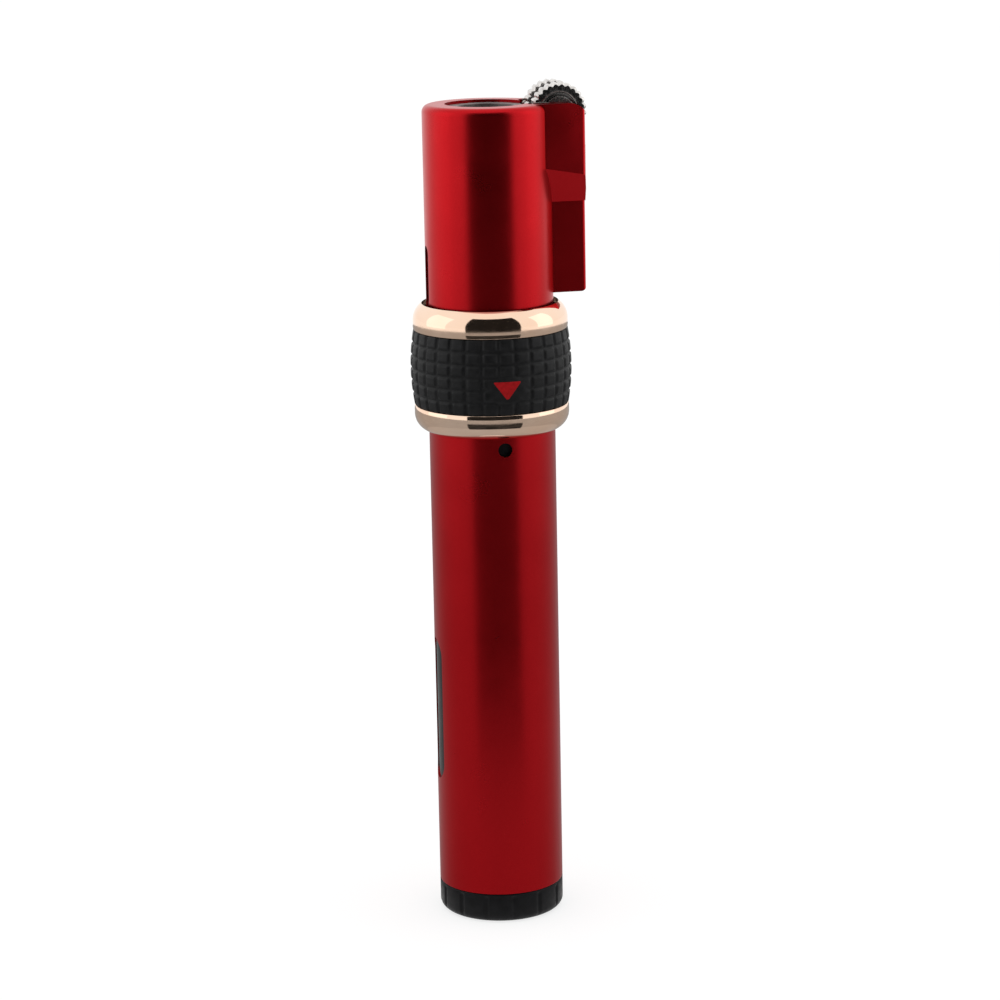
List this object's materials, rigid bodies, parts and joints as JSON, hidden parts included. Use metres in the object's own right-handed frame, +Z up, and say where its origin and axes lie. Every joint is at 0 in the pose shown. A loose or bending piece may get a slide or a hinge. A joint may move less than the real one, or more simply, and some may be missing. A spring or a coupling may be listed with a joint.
{
  "type": "butane torch",
  "caption": "Slim pen-style butane torch with a twist gas ring, a side spark wheel, a fuel window and a black base cap that it stands on.",
  "frame": {"origin": "centre of the flat base face that the torch stands on", "axes": "+Z up the torch towards the flame mouth, +X towards the spark wheel, -Y towards the index mark"},
  "size_m": [0.0293, 0.0267, 0.1404],
  "materials": {
    "body_red": "candy red metallic lacquer, satin",
    "trim_gold": "polished rose gold plating",
    "grip_rubber": "moulded grid, satin",
    "mark_red": "gloss paint",
    "cap_black": "fine moulded texture",
    "mouth_grey": "heat darkened",
    "smoked": "smoked clear plastic",
    "tank": "translucent nylon",
    "brass": "turned",
    "steel": "fine",
    "black_nickel": "polished black nickel",
    "file_steel": "hardened, dark",
    "zinc": "cast",
    "seal": "matt",
    "white_plastic": "moulded acetal",
    "flint": "pressed"
  },
  "bodies": {
    "torch_body": {"base_cap": "cap_black", "lower_shell": "body_red", "fuel_tank": "tank", "fuel_window": "smoked", "refill_valve_body": "brass", "refill_washer": "seal", "refill_spring": "steel", "regulator_body": "brass", "flow_filter": "white_plastic", "feed_tube": "white_plastic", "valve_body": "brass", "tank_seal": "seal", "valve_spring": "steel", "valve_plate": "zinc", "inner_sleeve": "cap_black", "drag_ring": "seal", "upper_shell": "body_red", "burner_base": "zinc", "jet_holder": "brass", "stem_seal": "seal", "jet_orifice": "steel", "mixing_tube": "steel", "burner_tube": "steel", "flame_stabiliser": "steel", "mouth_ring": "mouth_grey", "wheel_bracket": "black_nickel", "wheel_axle": "black_nickel", "flint_tube": "brass", "flint_spring": "steel", "flint_plug": "brass"},
    "gas_ring": {"ring_carrier": "cap_black", "grip_sleeve": "grip_rubber", "upper_trim_ring": "trim_gold", "lower_trim_ring": "trim_gold", "index_mark": "mark_red", "cam_ring": "white_plastic", "drive_pin": "steel"},
    "valve_lift": {"valve_stem": "brass", "valve_pad": "seal", "valve_lifter": "white_plastic"},
    "spark_wheel_set": {"spark_wheel": "file_steel", "thumb_wheel_front": "black_nickel", "thumb_wheel_rear": "black_nickel"},
    "flint_stick": {"flint": "flint"},
    "refill_plunger": {"refill_pin": "white_plastic"},
    "flow_adjuster": {"adjuster_screw": "brass"}
  },
  "joints": [
    {"name": "gas_ring_turn", "type": "hinge", "parent": "torch_body", "child": "gas_ring", "pos_m": [0, 0, 0.0941], "axis": [0, 0, 1], "range_deg": [0, 60]},
    {"name": "valve_rise", "type": "slide", "parent": "torch_body", "child": "valve_lift", "axis": [0, 0, 1], "range_m": [0, 0.0013], "deforming": ["valve_spring"]},
    {"name": "spark_wheel_spin", "type": "hinge", "parent": "torch_body", "child": "spark_wheel_set", "pos_m": [0.0114, 0, 0.1358], "axis": [0, 1, 0], "continuous": true},
    {"name": "flint_press", "type": "slide", "parent": "torch_body", "child": "flint_stick", "axis": [0, 0, 1], "range_m": [-0.003, 0], "stiffness_N_per_m": 150, "deforming": ["flint_spring"]},
    {"name": "refill_press", "type": "slide", "parent": "torch_body", "child": "refill_plunger", "axis": [0, 0, 1], "range_m": [0, 0.001], "stiffness_N_per_m": 400, "deforming": ["refill_spring"]},
    {"name": "flow_adjust", "type": "hinge", "parent": "torch_body", "child": "flow_adjuster", "pos_m": [0.004, 0, 0.0025], "axis": [0, 0, 1], "range_deg": [-120, 120]}
  ],
  "couplings": [
    {"joint": "valve_rise", "follows": "gas_ring_turn", "m_per_rad": 0.0011459}
  ]
}
